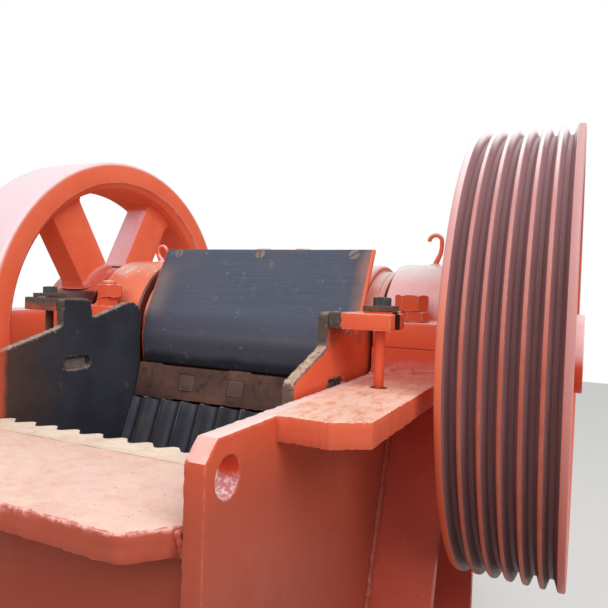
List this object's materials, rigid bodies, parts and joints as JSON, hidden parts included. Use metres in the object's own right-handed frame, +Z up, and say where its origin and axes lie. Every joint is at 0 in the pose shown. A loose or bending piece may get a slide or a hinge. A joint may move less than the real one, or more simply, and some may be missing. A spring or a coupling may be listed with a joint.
{
  "type": "jaw crusher",
  "caption": "Single-toggle jaw crusher with a welded box frame, swing jaw on an eccentric shaft, spoked flywheel and grooved belt pulley.",
  "frame": {"origin": "on the floor, below the middle of the whole machine's outline", "axes": "+X to the pulley side along the shaft, +Y from the fixed jaw to the rear wall, +Z up"},
  "size_m": [1.804, 1.87, 1.81],
  "materials": {
    "orange_paint": "bright orange enamel over welded plate and rough castings, weathered",
    "pulley_paint": "orange enamel on the rim and ridges, dark brown bare metal in the grooves",
    "fixed_jaw_steel": "cast manganese steel, top coated with pale overspray",
    "moving_jaw_steel": "dark cast manganese steel with worn ridges",
    "cheek_steel": "dark bare steel, brown dirt at the front and along the top edge",
    "clamp_steel": "dark oxidised steel",
    "wedge_rust": "brown rusted cast steel",
    "deflector_steel": "blue-black sheet with pale streaks and specks, orange at the side edges",
    "toggle_iron": "plain grey cast iron",
    "shaft_steel": "machined steel"
  },
  "bodies": {
    "frame": {"side_plate_left": "orange_paint", "side_plate_right": "orange_paint", "front_wall": "orange_paint", "front_panel": "orange_paint", "front_flange": "orange_paint", "side_flange_left": "orange_paint", "side_flange_right": "orange_paint", "front_rib_left": "orange_paint", "front_rib_right": "orange_paint", "rear_rib_left": "orange_paint", "rear_rib_right": "orange_paint", "base_flange_left": "orange_paint", "base_flange_right": "orange_paint", "rear_wall": "orange_paint", "bearing_pad_left": "orange_paint", "bearing_pad_right": "orange_paint", "bearing_housing_left": "orange_paint", "bearing_housing_right": "orange_paint", "bearing_cover_left": "orange_paint", "bearing_cover_right": "orange_paint", "housing_bolts_left": "orange_paint", "housing_bolts_right": "orange_paint", "lifting_hook_left": "orange_paint", "lifting_hook_right": "orange_paint", "fixed_jaw": "fixed_jaw_steel", "cheek_plate_left": "cheek_steel", "cheek_plate_right": "cheek_steel", "cheek_clamp_left": "clamp_steel", "cheek_clamp_right": "clamp_steel", "tension_rod": "clamp_steel", "tension_spring": "clamp_steel", "toggle_block": "toggle_iron", "toggle_plate": "toggle_iron"},
    "rotor": {"eccentric_shaft": "shaft_steel", "flywheel": "orange_paint", "pulley": "pulley_paint", "lock_ring_left": "orange_paint", "lock_ring_right": "orange_paint"},
    "swing": {"swing_jaw": "orange_paint", "moving_jaw": "moving_jaw_steel", "wedge_bar": "wedge_rust", "deflector_plate": "deflector_steel", "toggle_seat": "toggle_iron"}
  },
  "joints": [
    {"name": "shaft_spin", "type": "hinge", "parent": "frame", "child": "rotor", "pos_m": [0, 0.195, 1.22], "axis": [1, 0, 0], "continuous": true},
    {"name": "jaw_on_eccentric", "type": "hinge", "parent": "rotor", "child": "swing", "pos_m": [0, 0.195, 1.208], "axis": [1, 0, 0], "continuous": true}
  ],
  "couplings": [
    {"joint": "jaw_on_eccentric", "follows": "shaft_spin", "ratio": -1}
  ]
}
